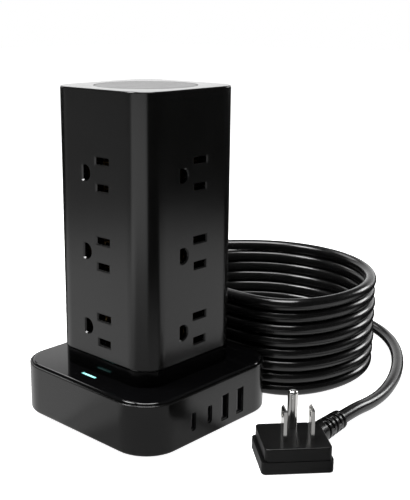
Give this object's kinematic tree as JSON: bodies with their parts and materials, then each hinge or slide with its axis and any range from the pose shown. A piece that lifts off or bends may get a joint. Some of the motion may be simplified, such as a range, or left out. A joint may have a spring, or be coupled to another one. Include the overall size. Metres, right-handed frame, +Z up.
{
  "type": "tower power strip",
  "caption": "Square tower power strip on a wider base: outlets on four faces, USB ports, round power button, light bar, and a coiled mains lead ending in a flat angled plug.",
  "frame": {"origin": "on the floor under the middle of the square base", "axes": "+Z up the tower, -Y out of the face with the USB ports, +X towards the coiled lead"},
  "size_m": [0.2372, 0.2332, 0.1667],
  "materials": {
    "satin_black": "satin",
    "gloss_black": "polished",
    "button_black": "satin",
    "inner_black": "matt",
    "insulator_white": "matt",
    "feet_rubber": "matt",
    "screw_steel": "zinc plated",
    "contact_brass": "rolled strip",
    "pin_nickel": "nickel plated",
    "port_steel": "plated sheet",
    "spring_steel": "drawn wire",
    "cord_jacket": "smooth vinyl",
    "plug_black": "satin moulding",
    "tongue_grey": "satin",
    "light_cyan": "lit lens",
    "board_green": "solder mask",
    "varistor_blue": "epoxy coat",
    "fuse_beige": "resin",
    "ferrite_green": "coated ferrite",
    "can_aluminium": "drawn can",
    "winding_yellow": "tape",
    "wire_black": "insulation",
    "wire_white": "insulation",
    "wire_green": "insulation"
  },
  "bodies": {
    "tower": {"base_shell": "satin_black", "bottom_cover": "inner_black", "rubber_feet": "feet_rubber", "base_screws": "screw_steel", "top_plate": "gloss_black", "light_pipe": "light_cyan", "indicator_led": "insulator_white", "tower_collar": "gloss_black", "tower_shell": "satin_black", "tower_screws": "screw_steel", "button_guide": "inner_black", "button_spring": "spring_steel", "power_switch": "inner_black", "hot_feed_wire": "wire_black", "hot_wires": "wire_black", "neutral_wires": "wire_white", "ground_wires": "wire_green", "surge_board": "board_green", "varistors": "varistor_blue", "thermal_fuse": "fuse_beige", "noise_choke": "ferrite_green", "overload_breaker": "inner_black", "usb_board": "board_green", "usb_c_port_1": "port_steel", "usb_c_port_2": "port_steel", "usb_a_port_1": "port_steel", "usb_a_port_2": "port_steel", "usb_tongues": "tongue_grey", "usb_transformer": "winding_yellow", "usb_capacitor": "can_aluminium", "cord_gland": "cord_jacket", "cord_lead": "cord_jacket", "cord_coil": "cord_jacket", "cord_tail": "cord_jacket", "plug_body": "plug_black", "plug_face": "plug_black", "plug_blades": "pin_nickel", "plug_ground_pin": "pin_nickel", "plug_strain_relief": "cord_jacket", "socket_frame_front": "inner_black", "hot_bar_front": "contact_brass", "neutral_bar_front": "contact_brass", "ground_bar_front": "contact_brass", "socket_frame_right": "inner_black", "hot_bar_right": "contact_brass", "neutral_bar_right": "contact_brass", "ground_bar_right": "contact_brass", "socket_frame_back": "inner_black", "hot_bar_back": "contact_brass", "neutral_bar_back": "contact_brass", "ground_bar_back": "contact_brass", "socket_frame_left": "inner_black", "hot_bar_left": "contact_brass", "neutral_bar_left": "contact_brass", "ground_bar_left": "contact_brass"},
    "button": {"power_button": "button_black", "switch_plunger": "insulator_white"},
    "reset": {"reset_button": "button_black"}
  },
  "joints": [
    {"name": "power_button_press", "type": "slide", "parent": "tower", "child": "button", "axis": [0, 0, -1], "range_m": [0, 0.0025], "stiffness_N_per_m": 350, "springref_m": -0.004, "deforming": ["button_spring"]},
    {"name": "reset_button_press", "type": "slide", "parent": "tower", "child": "reset", "axis": [0, -1, 0], "range_m": [0, 0.002], "stiffness_N_per_m": 400, "springref_m": -0.002}
  ]
}
